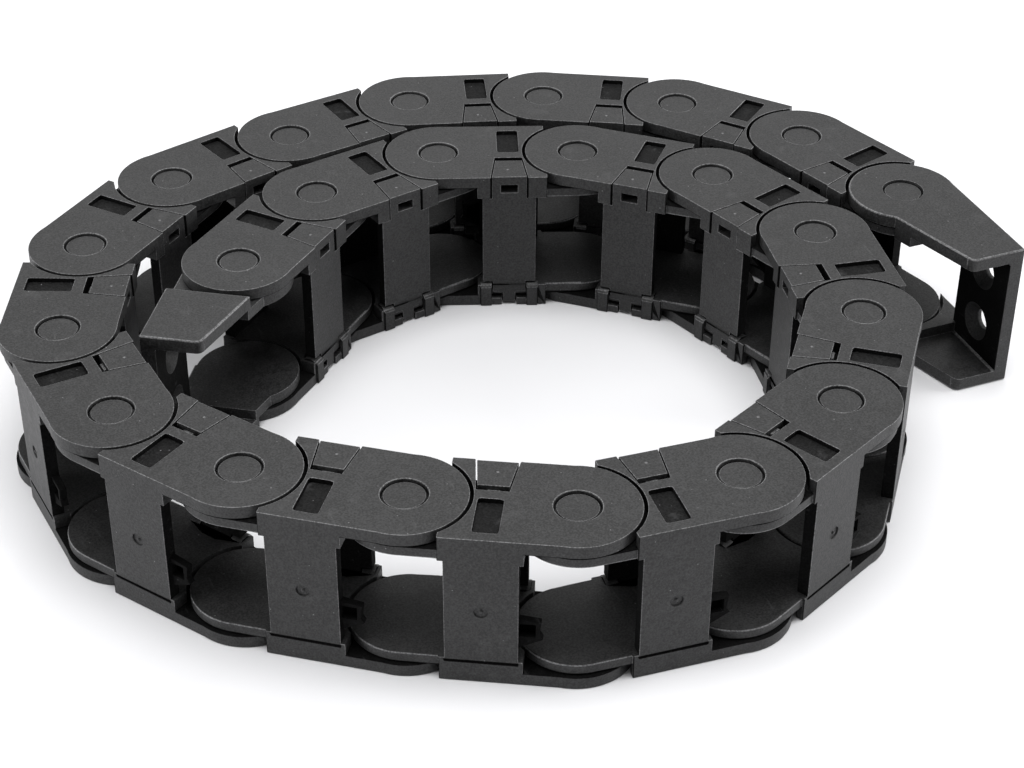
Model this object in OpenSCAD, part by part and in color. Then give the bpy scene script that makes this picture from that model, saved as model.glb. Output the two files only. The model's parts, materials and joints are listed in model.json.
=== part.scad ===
// Cable drag chain, openable, laid on its side in a flat coil of a little more than one turn.
//
// Each link is one moulding: two cranked side plates tied together by a fixed bar along its outer edge.
// A plate is two layers deep. At the head end only its outer layer goes on, as a round ear with a hole.
// At the tail end only its inner layer goes on, as a round ear with a boss that turns in the hole of
// the link before. The inner edge is closed by a lid bar, which turns on two stub pivots in the lower
// plate and latches in the upper one. A bracket at each end screws to the machine.
//
// In a link's own frame the tail hinge is at the origin, the head hinge lies one pitch along +X,
// +Y is the inner side of the coil and the chain's width stands along +Z.

/* [Chain] */
// Number of links between the two end brackets
link_count = 21; // [14:1:21]
// How much longer the pitch from hinge to hinge is than a side plate is high
pitch_past_height = 7.6; // [5.6:0.1:13.6]
// Outer width of the chain, across both side plates
chain_w = 32; // [28:0.5:40]
// Height of a side plate, from its inner to its outer edge
plate_h = 22.4; // [20:0.2:23.2]
// Share of the laid coil's bend that each hinge keeps
coil_share = 1; // [0.2:0.05:1]

/* [Side plates] */
// Thickness of a plate's outer layer, which carries the head ears
outer_layer = 2.6; // [2:0.1:3.2]
// Thickness of a plate's inner layer, which carries the tail ears
inner_layer = 2.3; // [1.8:0.1:3]
// Gap between the faces of two ears that turn on each other
ear_gap = 0.2; // [0.15:0.05:0.4]
// How far a head ear bulges past the plate's straight edges
ear_swell = 0.1; // [0.05:0.05:0.3]
// Gap round a head ear, at the hollow edge of the next plate
ear_clearance = 0.7; // [0.4:0.1:1.2]
// How much smaller a tail ear is than a head ear
tail_ear_step = 0.6; // [0.4:0.1:1.2]
// Distance from the tail hinge to the blunt tips of the hollow edge
tip_x = 7; // [5:0.5:9]
// How far the inner layer runs on past the fixed bar
layer_step = 0.8; // [0.2:0.1:1.2]

/* [Hinges] */
// Radius of the boss on a tail ear
boss_r = 4; // [3:0.1:5]
// Radial clearance of a boss in its hole
boss_clearance = 0.25; // [0.15:0.05:0.4]
// How far a boss stops short of the outer face
boss_sink = 0.4; // [0.2:0.1:1.2]
// Width of the bevel round a boss
boss_bevel = 0.3; // [0.1:0.1:0.5]

/* [Fixed bar] */
// Distance from the tail hinge to the fixed bar
bar_x = 8; // [7:0.5:9]
// Width of the fixed bar along the chain
bar_w = 13; // [11:0.5:14]
// Thickness of the fixed bar
bar_t = 2.4; // [1.8:0.1:3.2]
// Depth of the parting groove at the foot of the bar
groove_d = 0.3; // [0.1:0.1:0.6]
// Height of the parting groove
groove_h = 0.5; // [0.3:0.1:0.8]
// Radius of the round gate mark in the middle of the bar
gate_r = 1.25; // [0.8:0.05:1.8]
// Depth of the gate mark
gate_d = 0.35; // [0.1:0.05:0.6]

/* [Tie eye] */
// How far the tie eye stands off the fixed bar
eye_l = 4.2; // [3:0.2:5]
// Width of the tie eye across the chain
eye_w = 6.4; // [5:0.2:8]
// Thickness of the tie eye
eye_t = 1.4; // [1:0.1:2]
// Wall round the eye's opening
eye_wall = 1; // [0.8:0.1:1.4]
// Height of the tie eye's foot above the lower face
eye_z = 7.8; // [6:0.2:12]

/* [Lid] */
// Distance from the tail hinge to the lid
lid_x = 9.3; // [8.5:0.1:10]
// Width of the lid along the chain
lid_w = 11.4; // [10:0.1:12]
// Thickness of the lid
lid_t = 2.3; // [1.6:0.1:2.6]
// How far the lid's face lies behind the plate's edge
lid_set_back = 0.3; // [0.1:0.1:0.6]
// Gap between the lid and the link round it
lid_gap = 0.25; // [0.15:0.05:0.4]

/* [Latch] */
// Width of the latch tongue at the plate's edge
tongue_w = 7.4; // [6.4:0.1:8]
// Width of the latch tongue at its tip
tongue_tip_w = 5.7; // [4:0.1:6.2]
// Reach of the latch tongue into the upper plate
tongue_l = 7; // [5:0.1:8]
// Thickness of the latch tongue
tongue_t = 2; // [1.4:0.1:2.2]
// Length of the release slot past the tongue's tip
release_l = 1.3; // [0.8:0.1:2]
// Width of the barb on the tongue's tip
barb_w = 2.2; // [1.4:0.1:3]
// Length of the barb
barb_l = 0.5; // [0.3:0.1:0.7]
// Width of the tool window below the tongue
window_w = 3.6; // [2.4:0.1:4.4]
// Height of the tool window
window_h = 1.9; // [1.2:0.1:2.4]

/* [Lid pivot] */
// Radius of the lid's stub pivots
stub_r = 1.1; // [0.8:0.05:1.1]
// Length of a stub pivot
stub_l = 1.6; // [1.2:0.1:1.7]
// Radial clearance of a stub pivot in its lug
stub_clearance = 0.15; // [0.1:0.05:0.2]
// Height of the lid's pivot above the lower face
pivot_z = 3.2; // [3:0.1:3.4]
// Radius of a pivot lug
lug_r = 2.4; // [2.2:0.1:2.5]
// Width of a pivot lug along the chain
lug_w = 2.4; // [2.2:0.1:2.8]
// How far a pivot lug stands proud of the plate's edge
lug_proud = 0.4; // [0.1:0.1:0.6]
// Thickness of the sill below the lid's foot
sill_t = 1.7; // [1.2:0.1:1.8]
// Width of the lid's heel
heel_w = 2.7; // [2:0.1:4]
// Height of the heel's end above the lower face
heel_z = 0.6; // [0.4:0.1:1]

/* [Recess] */
// Length of the recess across the plate
recess_l = 9.3; // [6:0.1:10]
// Width of the recess
recess_w = 4.6; // [3:0.1:5]
// Depth of the recess
recess_d = 1; // [0.5:0.1:1.6]
// Distance from the hinge line to the recess's middle, towards the outer edge
recess_y = 4.4; // [3.8:0.1:5]

/* [End brackets] */
// Reach of a bracket past its hinge
bracket_l = 29.5; // [27:0.5:36]
// Distance from the hinge to the straight edge of the moving bracket's plates
bracket_start = 12.4; // [12.2:0.1:14]
// How far the plate reaches past the centre line at the bracket's end
bracket_toe = 0.8; // [0.4:0.1:3]
// How far the slanted edge lies past the centre line, beside the hinge
bracket_heel = 9.5; // [8:0.1:10]
// Corner radius at the bracket's end
toe_r = 1.5; // [0.5:0.1:2.5]
// Distance from the hinge to the end of a bracket's thick part
bracket_thick_l = 13.4; // [12:0.1:22]
// Thickness of the mounting wall
wall_t = 3; // [2.4:0.1:4]
// Distance from the hinge to the mounting wall
wall_x = 12.5; // [10:0.1:13]
// Distance from the hinge to the mounting screws
screw_x = 20.4; // [18:0.1:24]
// Distance between the two mounting screws
screw_spacing = 12.6; // [11:0.1:16]
// Radius of a screw hole
screw_r = 2.15; // [1.6:0.05:2.7]
// Radius of the countersink
sink_r = 4.1; // [3.2:0.1:4.6]

/* [Hidden] */
$fn = 64;
cut = 1;
// Bend of each hinge in whole degrees, as the coil is laid by hand, fixed bracket first
laid_bend = [17, 22, 23, 11, 27, 7, 23, 27, 29, 28, 20, 8, 24, 30, 27, 27, 28, 31, 21, 32, 29, 17];
// The laid coil leaves its turns clear as long as the pitch is this many plate heights or more
turn_ratio = 1.335;

// The fixed bracket points the chain along +Y
start_heading = 90;

pitch = plate_h + pitch_past_height;
edge = plate_h / 2;
side_t = outer_layer + ear_gap + inner_layer;
head_r = edge + ear_swell;
tail_r = head_r - tail_ear_step;
hollow_r = head_r + ear_clearance;
hole_r = boss_r + boss_clearance;
bar_end = bar_x + bar_w;
body_end = bar_end + layer_step;
mid_x = lid_x + lid_w / 2;
lid_face = edge - lid_set_back;
lid_back = lid_face - lid_t;
shoulder_top = chain_w - side_t - lid_gap;
window_z = chain_w - tongue_t - window_h;
pivot_y = lid_face - stub_r - 0.1;
shoulder_foot = pivot_z + lug_r + lid_gap;
seat_half_w = lid_w / 2 + lid_gap - lug_w + lid_gap;
foot_half_w = seat_half_w - lid_gap;
heel_reach = norm([lid_face - pivot_y, pivot_z - heel_z]) + lid_gap;
bend_share = coil_share * min(1, pitch / (turn_ratio * plate_h));

// The coil: the heading of each link and the place of each hinge
function bend_before(i) = i == 0 ? 0 : laid_bend[i - 1] + bend_before(i - 1);
function heading(i) = start_heading + bend_share * bend_before(i);
function unit(a) = [cos(a), sin(a)];
function hinge_at(i) = i == 1 ? [0, 0] : hinge_at(i - 1) + pitch * unit(heading(i - 1));
function bracket_corners(at, out, side) = [
    for (y = [-edge, bracket_toe]) at + bracket_l * unit(out) + side * y * unit(out + 90)
];
coil_points = concat(
    [for (i = [1 : link_count + 1], dx = [-1, 1], dy = [-1, 1]) hinge_at(i) + edge * [dx, dy]],
    bracket_corners(hinge_at(1), heading(0) + 180, -1),
    bracket_corners(hinge_at(link_count + 1), heading(link_count + 1), 1)
);
coil_low = [for (axis = [0, 1]) min([for (p = coil_points) p[axis]])];
coil_high = [for (axis = [0, 1]) max([for (p = coil_points) p[axis]])];
coil_centre = (coil_low + coil_high) / 2;

function two_digits(i) = str(i < 10 ? "0" : "", i);
function link_name(i) = str("link_", two_digits(i));
function lid_name(i) = str("lid_", two_digits(i));

// Lays a piece drawn in a link's own frame at hinge i, turned by the coil
module laid(i, turn) {
    translate(hinge_at(i) - coil_centre) rotate(turn) children();
}

// A flat layer of a 2D outline between two heights
module layer(low, high) {
    translate([0, 0, low]) linear_extrude(high - low) children();
}

// An outline in Y and Z, drawn out along X from one place to another
module along_x(from, to) {
    translate([from, 0, 0]) rotate([90, 0, 90]) linear_extrude(to - from) children();
}

// Both side plates from one drawing: the upper as drawn from its inner face, the lower mirrored
module both_sides() {
    translate([0, 0, chain_w - side_t]) children();
    translate([0, 0, side_t]) mirror([0, 0, 1]) children();
}

module boss() {
    top = side_t - boss_sink;
    cylinder(h = top - boss_bevel, r = boss_r);
    translate([0, 0, top - boss_bevel]) cylinder(h = boss_bevel, r1 = boss_r, r2 = boss_r - boss_bevel);
}

module tail_ear_outline() {
    circle(tail_r);
    translate([0, -tail_r]) square([tip_x + cut, 2 * tail_r]);
}

module head_ear_outline() {
    difference() {
        union() {
            translate([tip_x, -edge]) square([pitch - tip_x, plate_h]);
            translate([pitch, 0]) circle(head_r);
        }
        circle(hollow_r);
        translate([pitch, 0]) circle(hole_r);
    }
}

module body_outline() {
    difference() {
        translate([tip_x, -edge]) square([body_end - tip_x, plate_h]);
        translate([pitch, 0]) circle(tail_r + ear_clearance);
    }
}

// One side plate, drawn from its inner face at z = 0 to its outer face at z = side_t
module side_plate() {
    layer(0, inner_layer) {
        tail_ear_outline();
        body_outline();
    }
    layer(inner_layer, inner_layer + ear_gap) difference() {
        body_outline();
        circle(hollow_r);
    }
    layer(inner_layer + ear_gap, side_t) head_ear_outline();
    boss();
}

// The latch tongue in plan, from the lid's face inwards; grown on all sides by a gap, and longer by extra
module tongue_outline(gap, extra, mouth) {
    taper = (tongue_w - tongue_tip_w) / 2 / tongue_l;
    tip_half = tongue_tip_w / 2 + gap - taper * extra;
    mouth_half = tongue_w / 2 + gap + taper * mouth;
    tip_y = lid_face - tongue_l - extra;
    polygon([
        [mid_x - mouth_half, lid_face + mouth],
        [mid_x - tip_half, tip_y],
        [mid_x + tip_half, tip_y],
        [mid_x + mouth_half, lid_face + mouth]
    ]);
}

// Room for the latch: a shallow pocket for the tongue, open right through where the lid's neck passes
module latch_pocket() {
    layer(chain_w - tongue_t - 2 * lid_gap, chain_w + cut) tongue_outline(lid_gap, release_l, cut);
    layer(chain_w - side_t - cut, chain_w + cut) intersection() {
        tongue_outline(lid_gap, release_l, cut);
        translate([lid_x, lid_back - lid_gap]) square([lid_w, plate_h]);
    }
}

module size_recess() {
    translate([mid_x - recess_w / 2, -recess_y - recess_l / 2, chain_w - recess_d])
        cube([recess_w, recess_l, recess_d + cut]);
}

module lug_outline() {
    intersection() {
        union() {
            translate([pivot_y, pivot_z]) circle(lug_r);
            translate([pivot_y - lug_r, 0]) square([2 * lug_r, pivot_z]);
        }
        square([edge + lug_proud, chain_w]);
    }
}

module pivot_lugs() {
    for (from = [mid_x - seat_half_w - lug_w, mid_x + seat_half_w])
        along_x(from, from + lug_w) lug_outline();
}

// Room for the lid's foot between the lugs, the bores of its stub pivots and the swing of its heel
module lid_seat() {
    back = min(lid_back, pivot_y - stub_r) - lid_gap;
    translate([mid_x - seat_half_w, back, sill_t])
        cube([2 * seat_half_w, plate_h, side_t]);
    translate([mid_x - seat_half_w - stub_l - lid_gap, pivot_y, pivot_z])
        rotate([0, 90, 0]) cylinder(h = 2 * (seat_half_w + stub_l + lid_gap), r = stub_r + stub_clearance);
    translate([mid_x - heel_w / 2 - lid_gap, pivot_y - heel_reach, -cut])
        cube([heel_w + 2 * lid_gap, plate_h, side_t + 2 * cut]);
}

module parting_groove() {
    translate([bar_x, -edge - cut, side_t - 1.5 * groove_h]) cube([bar_w, cut + groove_d, groove_h]);
}

// A shallow round dish with the stub of the gate left in it
module gate_mark() {
    translate([bar_x + bar_w / 2, -edge, chain_w / 2]) rotate([-90, 0, 0]) difference() {
        translate([0, 0, -cut]) cylinder(h = cut + gate_d, r = gate_r);
        cylinder(h = gate_d + cut, r1 = gate_r / 4, r2 = gate_r / 3);
    }
}

module fixed_bar() {
    translate([bar_x, -edge, 0]) cube([bar_w, bar_t, chain_w]);
}

// A small eye on the bar's head side, for a tie round the cables
module tie_eye() {
    inner = [eye_l - eye_wall - 0.3, eye_w / 2 - 0.4];
    translate([bar_end, -edge + bar_t, eye_z]) rotate([90, 0, 0]) linear_extrude(eye_t) difference() {
        polygon([[-cut, 0], [0, 0], [eye_l, eye_w / 3], [eye_l - 0.6, eye_w / 2], [eye_l - 0.3, eye_w - 0.5],
            [0, eye_w], [-cut, eye_w]]);
        translate([0, eye_w - eye_wall - inner[1]]) square(inner);
    }
}

module link() {
    difference() {
        union() {
            both_sides() side_plate();
            fixed_bar();
            pivot_lugs();
            tie_eye();
        }
        latch_pocket();
        size_recess();
        lid_seat();
        parting_groove();
        gate_mark();
    }
}

module lid_plate() {
    translate([lid_x, lid_back, shoulder_foot])
        cube([lid_w, lid_t, shoulder_top - shoulder_foot]);
}

module lid_neck() {
    layer(shoulder_top - cut, chain_w) intersection() {
        tongue_outline(0, 0, 0);
        translate([lid_x, lid_back]) square([lid_w, lid_t]);
    }
}

module latch_tongue() {
    layer(chain_w - tongue_t, chain_w) tongue_outline(0, 0, 0);
    translate([mid_x - barb_w / 2, lid_face - tongue_l - barb_l, chain_w - tongue_t])
        cube([barb_w, barb_l + cut, tongue_t / 2]);
}

module lid_foot() {
    translate([mid_x - foot_half_w, lid_back, pivot_z])
        cube([2 * foot_half_w, lid_t, shoulder_foot - pivot_z + cut]);
    translate([mid_x - foot_half_w - stub_l, pivot_y, pivot_z])
        rotate([0, 90, 0]) cylinder(h = 2 * (foot_half_w + stub_l), r = stub_r);
    translate([mid_x - heel_w / 2, pivot_y, heel_z])
        cube([heel_w, lid_face - pivot_y, pivot_z - heel_z + cut]);
}

module lid() {
    difference() {
        union() {
            lid_plate();
            lid_neck();
            latch_tongue();
            lid_foot();
        }
        translate([mid_x - window_w / 2, lid_back - cut, window_z])
            cube([window_w, lid_t + 2 * cut, window_h]);
    }
}

// A bracket's outline, drawn outwards from its hinge along +X: straight outer edge, slanted inner edge
module bracket_outline() {
    slant = atan2(bracket_heel - bracket_toe, bracket_l);
    toe_y = bracket_toe - toe_r * tan(45 - slant / 2);
    difference() {
        polygon([[0, -edge], [bracket_l, -edge], [bracket_l, bracket_toe], [0, bracket_heel]]);
        difference() {
            translate([bracket_l - toe_r, toe_y]) square(2 * toe_r);
            translate([bracket_l - toe_r, toe_y]) circle(toe_r);
        }
    }
}

module screw_holes() {
    for (side = [-1, 1])
        translate([screw_x, -edge, chain_w / 2 + side * screw_spacing / 2]) rotate([-90, 0, 0]) {
            translate([0, 0, -cut]) cylinder(h = wall_t + 2 * cut, r = screw_r);
            translate([0, 0, wall_t - (sink_r - screw_r)])
                cylinder(h = sink_r - screw_r, r1 = screw_r, r2 = sink_r);
            translate([0, 0, wall_t]) cylinder(h = edge, r = sink_r);
        }
}

module mounting_wall() {
    difference() {
        translate([wall_x, -edge, 0]) cube([bracket_l - wall_x, wall_t, chain_w]);
        screw_holes();
    }
}

// The thick part of a bracket's side plate, behind the ears that turn in it
module bracket_thick_outline() {
    intersection() {
        bracket_outline();
        translate([0, -edge]) square([bracket_thick_l, plate_h]);
    }
}

module fixed_bracket_side() {
    layer(side_t - outer_layer, side_t) difference() {
        union() {
            circle(head_r);
            bracket_outline();
        }
        circle(hole_r);
    }
    layer(inner_layer, inner_layer + ear_gap) difference() {
        bracket_outline();
        circle(tail_r + ear_clearance);
    }
    layer(0, inner_layer) difference() {
        bracket_thick_outline();
        circle(tail_r + ear_clearance);
    }
}

module moving_bracket_side() {
    layer(inner_layer, side_t) difference() {
        bracket_outline();
        translate([0, -edge]) square([bracket_start, plate_h]);
    }
    layer(0, inner_layer) {
        circle(tail_r);
        bracket_thick_outline();
    }
    boss();
}

module fixed_end_bracket() {
    color([0.12, 0.12, 0.13]) laid(1, heading(0)) mirror([1, 0, 0]) {
        both_sides() fixed_bracket_side();
        mounting_wall();
    }
}

module moving_end_bracket() {
    color([0.12, 0.12, 0.13]) laid(link_count + 1, heading(link_count + 1)) {
        both_sides() moving_bracket_side();
        mounting_wall();
    }
}

module laid_link(i) {
    color([0.13, 0.13, 0.14]) laid(i, heading(i)) link();
}

module laid_lid(i) {
    color([0.17, 0.17, 0.18]) laid(i, heading(i)) lid();
}

fixed_end_bracket();
for (i = [1 : link_count]) laid_link(i);
for (i = [1 : link_count]) laid_lid(i);
moving_end_bracket();
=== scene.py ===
import json
import math

import bmesh
import bpy
import numpy as np
from mathutils import Matrix, Vector
from mathutils.bvhtree import BVHTree


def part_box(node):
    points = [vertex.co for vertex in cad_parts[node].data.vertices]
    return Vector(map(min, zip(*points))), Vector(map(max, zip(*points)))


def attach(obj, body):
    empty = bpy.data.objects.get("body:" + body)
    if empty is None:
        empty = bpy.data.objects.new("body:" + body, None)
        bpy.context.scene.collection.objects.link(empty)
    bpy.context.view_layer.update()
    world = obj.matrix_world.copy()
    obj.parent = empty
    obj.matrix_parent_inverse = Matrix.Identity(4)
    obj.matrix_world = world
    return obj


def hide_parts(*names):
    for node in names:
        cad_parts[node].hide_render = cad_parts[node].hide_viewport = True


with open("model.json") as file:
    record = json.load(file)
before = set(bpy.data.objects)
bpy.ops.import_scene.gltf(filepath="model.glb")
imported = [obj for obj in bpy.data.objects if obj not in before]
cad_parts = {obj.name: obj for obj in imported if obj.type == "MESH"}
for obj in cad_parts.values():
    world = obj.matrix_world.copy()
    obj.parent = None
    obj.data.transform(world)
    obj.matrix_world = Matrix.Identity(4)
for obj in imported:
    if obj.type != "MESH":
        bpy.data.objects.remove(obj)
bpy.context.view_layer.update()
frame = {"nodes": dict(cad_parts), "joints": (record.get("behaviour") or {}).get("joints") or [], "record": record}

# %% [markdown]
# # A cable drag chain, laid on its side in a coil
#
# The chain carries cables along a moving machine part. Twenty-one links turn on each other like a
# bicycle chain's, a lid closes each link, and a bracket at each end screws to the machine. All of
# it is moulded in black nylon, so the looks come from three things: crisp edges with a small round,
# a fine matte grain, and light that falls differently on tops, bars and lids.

MM = 0.001


def deselect():
    """Leaves nothing selected, so that the next operator acts only on what is picked after it."""
    if bpy.context.object and bpy.context.object.mode != "OBJECT":
        bpy.ops.object.mode_set(mode="OBJECT")
    bpy.ops.object.select_all(action="DESELECT")


deselect()

# %% [markdown]
# ## Where each piece stands
#
# Every link is the same moulding, so it pays to think in a link's own frame: its tail hinge at the
# origin, its head hinge along X, the inner side of the coil along Y, and the width of the chain
# along Z. The hinges in the frame give that place for each link: one hinge is its origin, and the
# next one points the way. A bracket has only one hinge, and its mounting face says which way it
# looks.

# %% A piece's own place
joints = {joint["name"]: joint for joint in frame["joints"]}
mounts = {mount["name"]: mount for mount in frame["record"]["mounts"]}
link_names = sorted(name for name in frame["nodes"] if name.startswith("link_"))
lid_names = sorted(name for name in frame["nodes"] if name.startswith("lid_"))
hinges = [
    Vector((*joints[name]["pos_m"][:2], 0))
    for name in sorted(joints)
    if name.startswith("hinge_")
]
pitch = (hinges[1] - hinges[0]).length
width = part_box(link_names[0])[1].z


def place_at(origin, forward):
    """The matrix that puts a piece drawn in its own frame at a hinge, looking along forward."""
    turn = Matrix.Rotation(math.atan2(forward.y, forward.x), 4, "Z")
    return Matrix.Translation(origin) @ turn


def bracket_place(hinge, face_name):
    """A bracket's own frame: its outer wall looks along the mounting face's normal, which is -Y."""
    outward = Vector(mounts[face_name]["axis"])
    return place_at(hinge, Vector((-outward.y, outward.x, 0)))


link_places = [place_at(a, b - a) for a, b in zip(hinges, hinges[1:])]
fixed_place = bracket_place(hinges[0], "fixed_bracket_face")
moving_place = bracket_place(hinges[-1], "moving_bracket_face")
print(len(link_places), "links, pitch", round(pitch / MM, 2), "mm, width", round(width / MM, 2))

# %% [markdown]
# ## The camera
#
# The camera comes first, because everything after it is judged through it. It stands in front of
# the coil and a little to the left, and looks down by 35 degrees. A lens of about 80 mm keeps the
# far side of the coil nearly as large as the near side. The place is measured from the first hinge
# in pitches.

# %% Camera
LENS_MM = 79.19
SENSOR_MM = 36
LOOK_DOWN = 35.41
LOOK_TOWARDS = Vector((0.3746, 0.9272, 0)).normalized()
CAMERA_FROM_HINGE = Vector((-7.6217, -11.595, 9.0627))
CAMERA_ROLL = 0.256

bpy.ops.object.camera_add(location=hinges[0] + CAMERA_FROM_HINGE * pitch)
camera = bpy.context.object
down = math.radians(LOOK_DOWN)
line_of_sight = LOOK_TOWARDS * math.cos(down) - Vector((0, 0, math.sin(down)))
look = line_of_sight.to_track_quat("-Z", "Y")
roll = Matrix.Rotation(math.radians(CAMERA_ROLL), 3, "Z").to_quaternion()
camera.rotation_mode = "QUATERNION"
camera.rotation_quaternion = look @ roll
camera.data.lens = LENS_MM
camera.data.sensor_width = SENSOR_MM
bpy.context.scene.camera = camera
print("camera at", [round(v, 3) for v in camera.location])

# %% [markdown]
# ## Writing a material as a sum
#
# A node tree is easier to read as an expression. A `Wire` is one output of a node. Adding or
# multiplying wires adds Math nodes, and a number may stand on either side, as in `1 - mask`.
# `Board.node` makes any other node from its type, settings and inputs.

# %% Wires


class Wire:
    """One output socket, which can stand in a sum like a number."""

    def __init__(self, board, socket):
        self.board = board
        self.socket = socket

    def _math(self, operation, first, second):
        return self.board.node("ShaderNodeMath", {"operation": operation}, {0: first, 1: second})

    def __add__(self, other):
        return self._math("ADD", self, other)

    def __sub__(self, other):
        return self._math("SUBTRACT", self, other)

    def __rsub__(self, other):
        return self._math("SUBTRACT", other, self)

    def __mul__(self, other):
        return self._math("MULTIPLY", self, other)

    def __pow__(self, other):
        return self._math("POWER", self, other)

    def __rpow__(self, other):
        return self._math("POWER", other, self)

    def clamped(self):
        """The value kept between 0 and 1."""
        return self._math("MINIMUM", self._math("MAXIMUM", self, 0.0), 1.0)

    __radd__ = __add__
    __rmul__ = __mul__


print("a wire can be added, subtracted, multiplied, raised to a power and clamped")

# %% [markdown]
# A `Board` is the material's own tree. It gives a wire for each node that it makes, and has short
# names for the three kinds of node that the finishes need most: a noise, a smooth step and a blend
# of two colours.

# %% Boards


class Board:
    """A material's node tree."""

    def __init__(self, name):
        self.material = bpy.data.materials.new(name)
        self.material.use_nodes = True
        self.tree = self.material.node_tree
        self.shader = self.tree.nodes["Principled BSDF"]

    def put(self, socket, value):
        """Gives an input a wire or a plain value."""
        if isinstance(value, Wire):
            self.tree.links.new(value.socket, socket)
        else:
            socket.default_value = value

    def node(self, kind, settings=None, inputs=None, output=0):
        """Makes a node with its settings and inputs, and gives the wire from one output."""
        made = self.tree.nodes.new(kind)
        for key, value in (settings or {}).items():
            setattr(made, key, value)
        for key, value in (inputs or {}).items():
            self.put(made.inputs[key], value)
        return Wire(self, made.outputs[output])

    def noise(self, where, scale, detail, roughness):
        inputs = {"Vector": where, "Scale": scale, "Detail": detail, "Roughness": roughness}
        return self.node("ShaderNodeTexNoise", None, inputs)

    def step(self, value, low, high):
        """0 below low, 1 above high, and a smooth rise between."""
        inputs = {"Value": value, "From Min": low, "From Max": high}
        return self.node("ShaderNodeMapRange", {"interpolation_type": "SMOOTHSTEP"}, inputs)

    def blend(self, share, first, second):
        """A colour between two colours. Sockets 6 and 7 are the Mix node's two colours."""
        inputs = {0: share, 6: first, 7: second}
        return self.node("ShaderNodeMix", {"data_type": "RGBA"}, inputs, output=2)


def grey(value):
    """A grey with a trace of blue, as black nylon has under a white light."""
    return (value, value, value * 1.02, 1)


print("a board has noise, step and blend; black nylon's grey is", grey(0.02))

# %% [markdown]
# ## Black nylon
#
# Moulded nylon isn't pure black. It is a very dark grey that takes a soft sheen, it has a fine even
# grain from the mould, and handling leaves pale dust and tiny scuffs, most of all along the edges.
# Three noises make the grain, from clouds as wide as a link down to grains of less than half a
# millimetre. Dust is a Voronoi pattern with a dot in some of its cells, and streaks are a noise
# that is drawn out along Y. All patterns read the piece's own coordinates, so that they stay on it
# when the chain moves.

# %% Dust and streaks
DUST_CELLS = 620.0
DOT_RIM, DOT_CORE = 0.10, 0.04
STREAKS = 900.0
STREAK_STRETCH = (1.0, 0.16, 1.0)


def dust_dots(board, where):
    """A small dot in the middle of some of the cells, stronger in a few of them."""
    cells = {"Vector": where, "Scale": DUST_CELLS}
    to_dot = board.node("ShaderNodeTexVoronoi", {"feature": "F1"}, cells)
    cell_colour = board.node("ShaderNodeTexVoronoi", {"feature": "F1"}, cells, output=1)
    chance = board.node("ShaderNodeSeparateColor", None, {0: cell_colour})
    return board.step(to_dot, DOT_RIM, DOT_CORE) * board.step(chance, 0.40, 1.0) ** 1.5


def rub_streaks(board, where):
    """Short pale lines where pieces rubbed along each other."""
    stretched = {"Vector": where, "Scale": STREAK_STRETCH}
    stretched = board.node("ShaderNodeMapping", None, stretched)
    return board.step(board.noise(stretched, STREAKS, 3.0, 0.6), 0.63, 0.80)


print("dust dots lie about", round(1 / DUST_CELLS / MM, 1), "mm apart")

# %% [markdown]
# A small gate pip stands on each lid's tongue, where the nylon flowed into the mould. It is too
# small for a mesh of its own, so it is a bead in the bump and the colour. The material finds it by
# the attribute `place`, which holds each point's place in the lid's own frame in millimetres.

# %% The finish
CLOUDS, MOTTLES, GRAINS, SCUFFS = 45.0, 520.0, 2600.0, 160.0
WORN_GREY, DUST_GREY, PIP_GREY = 0.09, 0.22, 0.15
PIP_RIM, PIP_CORE = 0.42, 0.12
BUMP_DEPTH = 0.00014


def nylon(name, tone, roughness, grain, wear, shine=0.36, dust=0.75, pip=None):
    """Black nylon: grey tone, roughness, depth of grain, share of wear, shine, dust and pip."""
    board = Board(name)
    where = board.node("ShaderNodeTexCoord", output=3)
    cloud = board.noise(where, CLOUDS, 4.0, 0.6)
    mottle = board.noise(where, MOTTLES, 4.0, 0.7)
    fine = board.noise(where, GRAINS, 2.0, 0.6)
    scuff = board.step(board.noise(where, SCUFFS, 6.0, 0.7), 0.56, 0.72)
    dots = dust_dots(board, where)
    streak = rub_streaks(board, where)

    tint = ((cloud - 0.5) * 0.9 + (mottle - 0.5) * 1.5 + (fine - 0.5) * 3.4 + 0.5).clamped()
    base = board.blend(tint, grey(tone * 0.45), grey(tone * 1.60))
    base = board.blend((scuff * wear + streak * 0.25).clamped(), base, grey(WORN_GREY))
    base = board.blend(dots * dust, base, grey(DUST_GREY))
    height = fine * 0.45 + mottle * 0.55
    if pip:
        place = board.node("ShaderNodeAttribute", {"attribute_name": "place"}, output=1)
        ends = {0: place, 1: pip}
        from_pip = board.node("ShaderNodeVectorMath", {"operation": "DISTANCE"}, ends, output=1)
        bead = board.step(from_pip, PIP_RIM, PIP_CORE)
        base = board.blend(bead * 0.8, base, grey(PIP_GREY))
        height = height + bead * 3.0

    rough = (mottle - 0.5) * 0.30 + (cloud - 0.5) * 0.10 + roughness
    relief = {"Strength": grain, "Distance": BUMP_DEPTH, "Height": height}
    board.put(board.shader.inputs["Base Color"], base)
    board.put(board.shader.inputs["Roughness"], rough.clamped())
    board.put(board.shader.inputs["Normal"], board.node("ShaderNodeBump", None, relief))
    board.put(board.shader.inputs["Specular IOR Level"], shine)
    return board.material


print("the grain is", round(1 / GRAINS / MM, 2), "mm wide")
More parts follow.
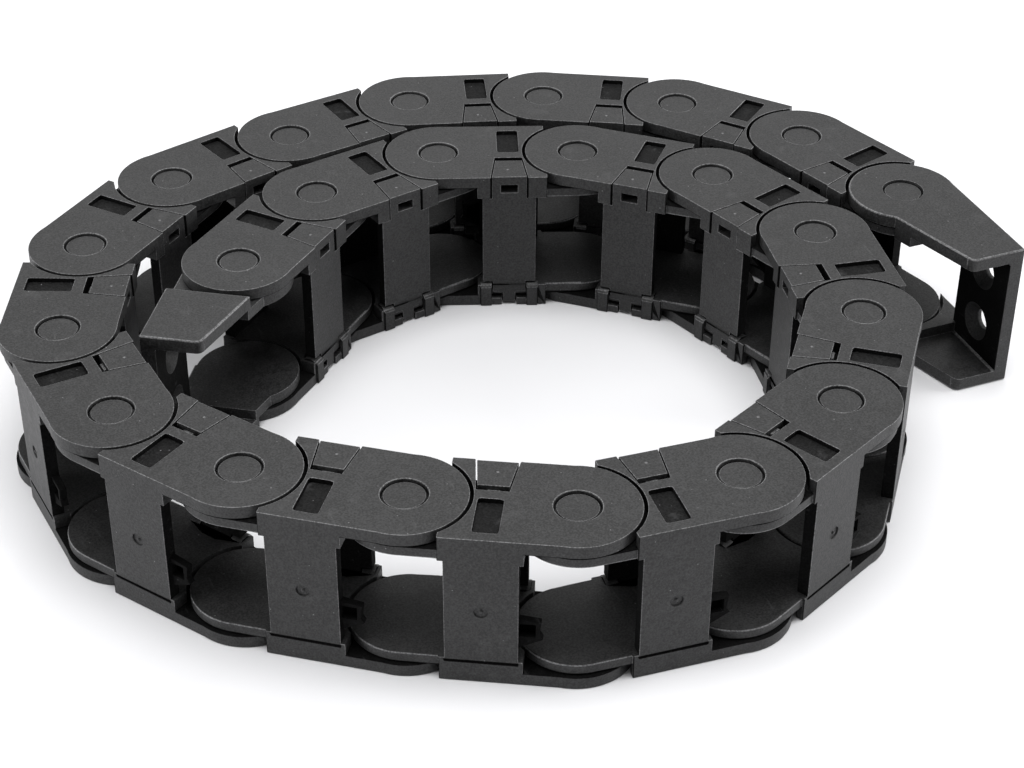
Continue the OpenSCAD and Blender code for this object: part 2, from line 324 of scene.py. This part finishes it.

# %% [markdown]
# One function makes the finish, and its few values make the variants: a plate's flat side, a lid,
# and the edges, which the bevels carry as a second material. The edges show the most wear, and
# their lighter grey is also a painted highlight along the rounds. The insides of slots, passages
# and recesses see little light, so they get painted shade: darker and duller finishes. No hands
# reach the slots and passages, so they carry less wear and dust, while the recess is rougher.

# %% Six variants
LATCH_PIP = (15.3, 7.8, 32.0)
plate_nylon = nylon("plate_nylon", 0.018, 0.50, 0.62, 0.16)
# Edges: worn nylon, in a lighter grey that is a painted highlight along the rounded edges
edge_wear_and_highlight = nylon("edge_wear_and_highlight", 0.095, 0.38, 0.60, 1.00)
lid_nylon = nylon("lid_nylon", 0.018, 0.54, 0.60, 0.14, pip=LATCH_PIP)
# Painted shade: the darkest, dullest finish, for slot walls, the layer gap, the tie eye and groove
painted_shade_nylon = nylon("painted_shade_nylon", 0.003, 0.80, 0.40, 0.02, shine=0.06, dust=0.2)
# Painted shade: a darker, duller finish for the passage floors and round the bracket's screw holes
passage_shade_nylon = nylon("passage_shade_nylon", 0.015, 0.60, 0.50, 0.08, shine=0.28, dust=0.5)
# Painted shade on the size recess's floor, which is also rougher and dustier
recess_shade_nylon = nylon("recess_shade_nylon", 0.007, 0.72, 1.40, 0.35, shine=0.13, dust=0.9)

# A moulding's material slots: its own finish, and the four that all mouldings share: the edge,
# with wear and a painted highlight, and three finishes of painted shade
MAIN, EDGE, SHADE, PASSAGE, RECESS = range(5)
shared_finishes = [edge_wear_and_highlight, painted_shade_nylon, passage_shade_nylon, recess_shade_nylon]
print("shared finishes:", [finish.name for finish in shared_finishes])

# %% [markdown]
# ## A copy to work on
#
# A moulded edge is never a knife edge. Rebuilding the links would lose their fit, so each kind of
# moulding is copied from the frame instead. The frame's mesh is loose triangles, so the copy is
# merged first, and its triangles are dissolved into whole faces. It is drawn in its own frame,
# which lets the next steps find edges and faces by plain numbers.

# %% Copy and merge
MERGE_MM = 0.004
FLAT_DEGREES = 0.5


def own_copy(node_name, place, name):
    """A copy of a frame node in its own frame, with its triangles merged into whole faces."""
    piece = bpy.data.objects.new(name, frame["nodes"][node_name].data.copy())
    bpy.context.scene.collection.objects.link(piece)
    piece.data.transform(place.inverted())
    deselect()
    bpy.context.view_layer.objects.active = piece
    piece.select_set(True)
    bpy.ops.object.mode_set(mode="EDIT")
    bpy.ops.mesh.select_all(action="SELECT")
    bpy.ops.mesh.remove_doubles(threshold=MERGE_MM * MM)
    bpy.ops.mesh.dissolve_limited(angle_limit=math.radians(FLAT_DEGREES))
    bpy.ops.object.mode_set(mode="OBJECT")
    return piece


def in_box(point, low, high):
    return all(a < value < b for value, a, b in zip(point, low, high))


def depth_at(point):
    """How deep a point lies below the nearer outer side of the chain, in mm."""
    return min(point.z, width / MM - point.z)


print("points closer than", MERGE_MM, "mm become one")

# %% [markdown]
# ## How round each edge is
#
# The mould's corners differ: the recess has wide ones, the ears less, and most edges only lose
# their sharpness. A Bevel modifier can read that from a weight on each edge, as a share of one
# largest radius. The shares come from the edge's place in the moulding.

# %% Shares of the largest radius
BIG_RADIUS_MM = 0.6
SHARE = {
    "recess corner": 1.0,
    "tail ear": 0.65,
    "bracket rim": 0.55,
    "boss rim": 0.32,
    "head ear": 0.3,
    "gate mark": 0.22,
    "rim": 0.18,
    "inside a bracket": 0.12,
    "inside a lid": 0.1,
    "inside a link": 0.08,
}
# The moulding's own radii, in mm, and its boxes in a link's own frame
HEAD_EAR_R, TAIL_EAR_R, HOLLOW_R, BOSS_R = 11.3, 10.7, 12.0, 5.5
SIZE_RECESS = ((12.6, -9.2, 30.9), (17.4, 0.4, 31.93))
GATE_MARK = ((13.0, -11.3, 14.5), (16.0, -10.7, 17.5))
# An edge counts as on an ear's curve, or on an outer side, when it is this near
ON_EAR, ON_SIDE = 0.3, 0.05


def edge_share(point):
    """How round a link's edge is at a point of the link's own frame."""
    x, y, _ = point
    depth = depth_at(point)
    from_head = math.hypot(x - pitch / MM, y)
    if in_box(point, *SIZE_RECESS) and 0.3 < depth < 0.7:
        return SHARE["recess corner"]
    if x < 6 and abs(math.hypot(x, y) - TAIL_EAR_R) < ON_EAR:
        return SHARE["tail ear"]
    if x > 24 and abs(from_head - HEAD_EAR_R) < ON_EAR and depth > ON_SIDE:
        return SHARE["head ear"]
    if in_box(point, *GATE_MARK):
        return SHARE["gate mark"]
    if depth < 0.5 and from_head < BOSS_R:
        return SHARE["boss rim"]
    if depth < ON_SIDE or abs(y) > 10.5:
        return SHARE["rim"]
    return SHARE["inside a link"]


print("the roundest edge is", BIG_RADIUS_MM, "mm")

# %% [markdown]
# A lid has only fine edges. A bracket has softer rims, because it is thicker, and a small fillet
# where its wall meets the plates. Round its hinge the walls are thin, so the edges stay fine there.

# %% Shares for the lid and the brackets
LID_FACE_Y = 10.8
PLATE_EDGE_Y = -11.2
WALL_FACE_Y = -8.2


def lid_share(point):
    """How round a lid's edge is."""
    outside = width / MM - point.z < ON_SIDE or point.y > LID_FACE_Y
    return SHARE["rim" if outside else "inside a lid"]


def bracket_share(point):
    """How round a bracket's edge is."""
    depth = depth_at(point)
    near_hinge = math.hypot(point.x, point.y) < 5
    outside = depth < ON_SIDE or abs(point.y - PLATE_EDGE_Y) < ON_SIDE
    if outside and not near_hinge:
        return SHARE["bracket rim"]
    if abs(point.y - WALL_FACE_Y) < 0.1 and 2.5 < depth < 2.9:
        return SHARE["recess corner"]
    return SHARE["inside a bracket"]


print("a bracket's wall stands", round(WALL_FACE_Y - PLATE_EDGE_Y, 1), "mm thick")

# %% [markdown]
# ## The bevel
#
# With the weights in place, one Bevel modifier rounds the whole moulding and gives the rounds the
# edge finish: worn nylon, lighter as a painted highlight along the edges. Its overlap clamp stays
# off, because the shortest edge of the moulding would shrink every bevel to nothing. Without the
# clamp a few points are thrown out of the moulding, where small edges meet, so they are brought back
# to its surface. Weighted normals then keep the flat sides flat.

# %% Round the edges
SHARP_DEGREES = 28
SMOOTH_DEGREES = 32
FACE_WEIGHT = 80
STRAY_MM, OUTSIDE_MM = 0.25, 0.004


def weigh_edges(piece, share):
    """Marks each sharp edge with its share of the full radius, by the place of its middle."""
    mesh = bmesh.new()
    mesh.from_mesh(piece.data)
    weight = mesh.edges.layers.float.new("bevel_weight_edge")
    for edge in mesh.edges:
        if len(edge.link_faces) == 2 and edge.calc_face_angle(0) > math.radians(SHARP_DEGREES):
            edge[weight] = share((edge.verts[0].co + edge.verts[1].co) / 2 / MM)
    mesh.to_mesh(piece.data)
    mesh.free()


def pull_in(piece, moulding):
    """Brings back to the moulding's surface the few points that a bevel pushed out of it."""
    for vertex in piece.data.vertices:
        nearest, normal, _, distance = moulding.find_nearest(vertex.co)
        outside = (vertex.co - nearest).dot(normal)
        if distance > STRAY_MM * MM or outside > OUTSIDE_MM * MM:
            vertex.co = nearest


def round_edges(piece, main_finish):
    """Bevels the weighted edges, gives the bevels the worn edge finish with its painted highlight, and smooths the
    rest.
    """
    corners = [vertex.co.copy() for vertex in piece.data.vertices]
    faces = [tuple(face.vertices) for face in piece.data.polygons]
    moulding = BVHTree.FromPolygons(corners, faces)
    piece.data.materials.clear()
    for material in [main_finish, *shared_finishes]:
        piece.data.materials.append(material)
    deselect()
    bpy.context.view_layer.objects.active = piece
    piece.select_set(True)
    bevel = piece.modifiers.new("round", "BEVEL")
    bevel.width = BIG_RADIUS_MM * MM
    bevel.segments = 2
    bevel.limit_method = "WEIGHT"
    # The rounds get the edge finish: wear, and a painted highlight along the edges
    bevel.material = EDGE
    bevel.miter_outer = "MITER_ARC"
    bevel.use_clamp_overlap = False
    bpy.ops.object.modifier_apply(modifier=bevel.name)
    pull_in(piece, moulding)
    bpy.ops.object.shade_smooth_by_angle(angle=math.radians(SMOOTH_DEGREES))
    flat = piece.modifiers.new("flat", "WEIGHTED_NORMAL")
    flat.keep_sharp = True
    flat.weight = FACE_WEIGHT
    bpy.ops.object.modifier_apply(modifier=flat.name)


print("edges sharper than", SHARP_DEGREES, "degrees are rounded")

# %% [markdown]
# ## Which face is dark
#
# A link's passage, the gap between its two layers, the latch slot, the tie eye and the parting
# groove lie in shade on the real chain, because no light gets in, and no hand rubs them. So their
# faces get painted shade: each face is given a darker finish by its place, which needs no texture
# and follows the piece everywhere.

# %% A link's faces
# Boxes in a link's own frame whose faces get painted shade
LATCH_SLOT = ((10.4, 1.8, 16.0), (19.6, 10.7, 31.93))
TIE_EYE = ((21.0, -10.4, 6.0), (26.0, -8.6, 16.0))
GROOVE = ((7.8, -11.3, 4.2), (21.2, -10.85, 5.0))
# Depths in mm below the outer side: the gap between the layers, and where the passage starts
LAYER_GAP = (2.2, 3.2)
PASSAGE_DEPTH = 4.9


def paint_link_shade(piece):
    """Paints shade by each face's place on the recess, slots, gap and passage; the gate mark keeps the plain
    finish.
    """
    for face in piece.data.polygons:
        point = face.center / MM
        depth = depth_at(point)
        level = abs(face.normal.z) > 0.7
        from_tail = math.hypot(point.x, point.y)
        hollow_wall = 0.2 < depth < LAYER_GAP[1] and abs(from_tail - HOLLOW_R) < 0.08
        in_slot = any(in_box(point, *box) for box in (LATCH_SLOT, TIE_EYE, GROOVE))
        in_gap = LAYER_GAP[0] < depth < LAYER_GAP[1] and (level or face.material_index == EDGE)
        # Painted shade: the recess floor takes the darker recess finish, its walls the darkest one
        if in_box(point, *SIZE_RECESS):
            face.material_index = RECESS if level else SHADE
        elif in_box(point, *GATE_MARK):
            face.material_index = MAIN
        elif in_slot or hollow_wall or in_gap:
            face.material_index = SHADE
        elif depth > PASSAGE_DEPTH and -11.0 < point.y < 10.5:
            face.material_index = PASSAGE if level else SHADE


print("the passage starts", PASSAGE_DEPTH, "mm below the outer side")

# %% [markdown]
# A lid shows its outer face and hides the rest, so its sides and back get painted shade. The barb
# at the tip of its tongue, deep in the slot, gets a painted highlight: the lighter edge finish. A
# bracket's wall lies in its own shade, painted dark, and the screw holes in it get painted shade too.

# %% The faces of the lid and the brackets
# The barb's box, whose faces get a painted highlight
LATCH_BARB = ((13.5, 3.3, 30.1), (16.5, 3.85, 31.1))


def paint_lid_shade_and_highlight(piece):
    """Painted shade on the lid's sides and back, which face the passage, and a painted highlight on the barb."""
    for face in piece.data.polygons:
        point = face.center / MM
        if point.y < 10.6 and point.z < width / MM - 5.2:
            face.material_index = SHADE
        # Painted highlight: the barb takes the lighter edge finish
        elif in_box(point, *LATCH_BARB):
            face.material_index = EDGE


def paint_bracket_shade(piece):
    """Paints shade on the wall's inner face, and on the faces in the wall round the screw holes."""
    for face in piece.data.polygons:
        point = face.center / MM
        on_wall_face = abs(point.y - WALL_FACE_Y) < 0.02 and abs(face.normal.z) < 0.1
        in_wall = -11.0 < point.y < WALL_FACE_Y and abs(point.x) > 14
        if on_wall_face:
            face.material_index = SHADE
        elif in_wall and 3.5 < point.z < width / MM - 3.5:
            face.material_index = PASSAGE


print("the barb reaches from", LATCH_BARB[0], "to", LATCH_BARB[1])

# %% [markdown]
# ## The master mouldings
#
# One link and one lid are finished as masters. Last of all each point's place is written down as an
# attribute, for the gate pip, and from then on the mesh may be laid anywhere.

# %% Finish the link and the lid


def keep_place(piece):
    """Writes each point's place in the piece's own frame, in mm, where materials can read it."""
    layer = piece.data.attributes.new("place", "FLOAT_VECTOR", "POINT")
    points = np.empty(len(piece.data.vertices) * 3)
    piece.data.vertices.foreach_get("co", points)
    layer.data.foreach_set("vector", points / MM)


def finished(node_name, place, name, main_finish, share, paint_light_and_shade):
    """A moulding in its own frame with round edges, its finishes, and painted light and shade on its faces."""
    piece = own_copy(node_name, place, name)
    weigh_edges(piece, share)
    round_edges(piece, main_finish)
    paint_light_and_shade(piece)
    keep_place(piece)
    print(name, len(piece.data.polygons), "faces")
    return piece


link_master = finished(
    link_names[0], link_places[0], "link_master", plate_nylon, edge_share, paint_link_shade
)
lid_master = finished(
    lid_names[0], link_places[0], "lid_master", lid_nylon, lid_share, paint_lid_shade_and_highlight
)

# %% [markdown]
# ## Twenty-one of each
#
# The master link and the master lid are now put at every place in the chain. Each copy has a mesh
# of its own, with the place in the mesh, and rides on its link or lid. The masters themselves are
# no part of the chain, so they go.

# %% Lay the chain


def lay(master, place, node_name):
    """A copy of the master at its place, which stands for the frame's node and moves with it."""
    mesh = master.data.copy()
    mesh.transform(place)
    piece = bpy.data.objects.new(node_name + "_moulding", mesh)
    bpy.context.scene.collection.objects.link(piece)
    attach(piece, node_name)
    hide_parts(node_name)
    return piece


for place, link_name, lid_name in zip(link_places, link_names, lid_names):
    lay(link_master, place, link_name)
    lay(lid_master, place, lid_name)
bpy.data.objects.remove(link_master)
bpy.data.objects.remove(lid_master)
print("laid", len(link_names), "links and", len(lid_names), "lids")

# %% [markdown]
# ## The end brackets
#
# The two brackets are different mouldings: one has the ears of a link's head and the other those of
# its tail. So each has a master of its own, laid once.

# %% Lay the brackets
for node_name, place in (
    ("fixed_end_bracket", fixed_place),
    ("moving_end_bracket", moving_place),
):
    bracket_master = finished(
        node_name, place, node_name + "_master", plate_nylon, bracket_share, paint_bracket_shade
    )
    lay(bracket_master, place, node_name)
    bpy.data.objects.remove(bracket_master)

# %% [markdown]
# ## The floor
#
# The chain lies on a plain pale floor. It is a light grey and not white: the lights still bring it
# to white, and it throws less light back up into the passages.

# %% Floor
FLOOR_SIZE = 6
FLOOR_Z = -0.0001
FLOOR_GREY = 0.72

deselect()
bpy.ops.mesh.primitive_plane_add(size=FLOOR_SIZE, location=(0, 0, FLOOR_Z))
floor = bpy.context.object
floor.name = "floor"
paper = Board("paper")
paper.put(paper.shader.inputs["Base Color"], grey(FLOOR_GREY))
paper.put(paper.shader.inputs["Roughness"], 0.9)
floor.data.materials.append(paper.material)
print("the floor is", FLOOR_SIZE, "m wide")

# %% [markdown]
# ## Light
#
# Black plastic shows its shape by what it reflects, so the lights are large and soft: one overhead
# and one behind for the plates, one at each side for the bars, and a bright sky that keeps the
# floor pale. The camera's side stays dark, and so do the passages in the links.

# %% Lights and sky
SKY_STRENGTH = 0.35
WHITE = (1, 1, 1, 1)


def softbox(name, centre, size, power):
    """A square area light that looks at the middle of the coil."""
    bpy.ops.object.light_add(type="AREA", location=centre)
    lamp = bpy.context.object
    lamp.name = name
    lamp.data.size = size
    lamp.data.energy = power
    lamp.rotation_euler = (-Vector(centre)).to_track_quat("-Z", "Y").to_euler()


softbox("behind_above", centre=(0.35, 1.15, 1.0), size=1.5, power=6)
softbox("overhead", centre=(0.0, -0.1, 1.6), size=1.2, power=28)
softbox("left_side", centre=(-1.2, 0.15, 0.35), size=0.7, power=11)
softbox("right_side", centre=(1.2, -0.25, 0.35), size=0.7, power=15.5)

world = bpy.data.worlds.new("studio")
bpy.context.scene.world = world
world.use_nodes = True
sky = world.node_tree.nodes["Background"]
sky.inputs["Color"].default_value = WHITE
sky.inputs["Strength"].default_value = SKY_STRENGTH
bpy.context.scene.view_settings.view_transform = "Standard"
print("four lights and a sky of", SKY_STRENGTH)
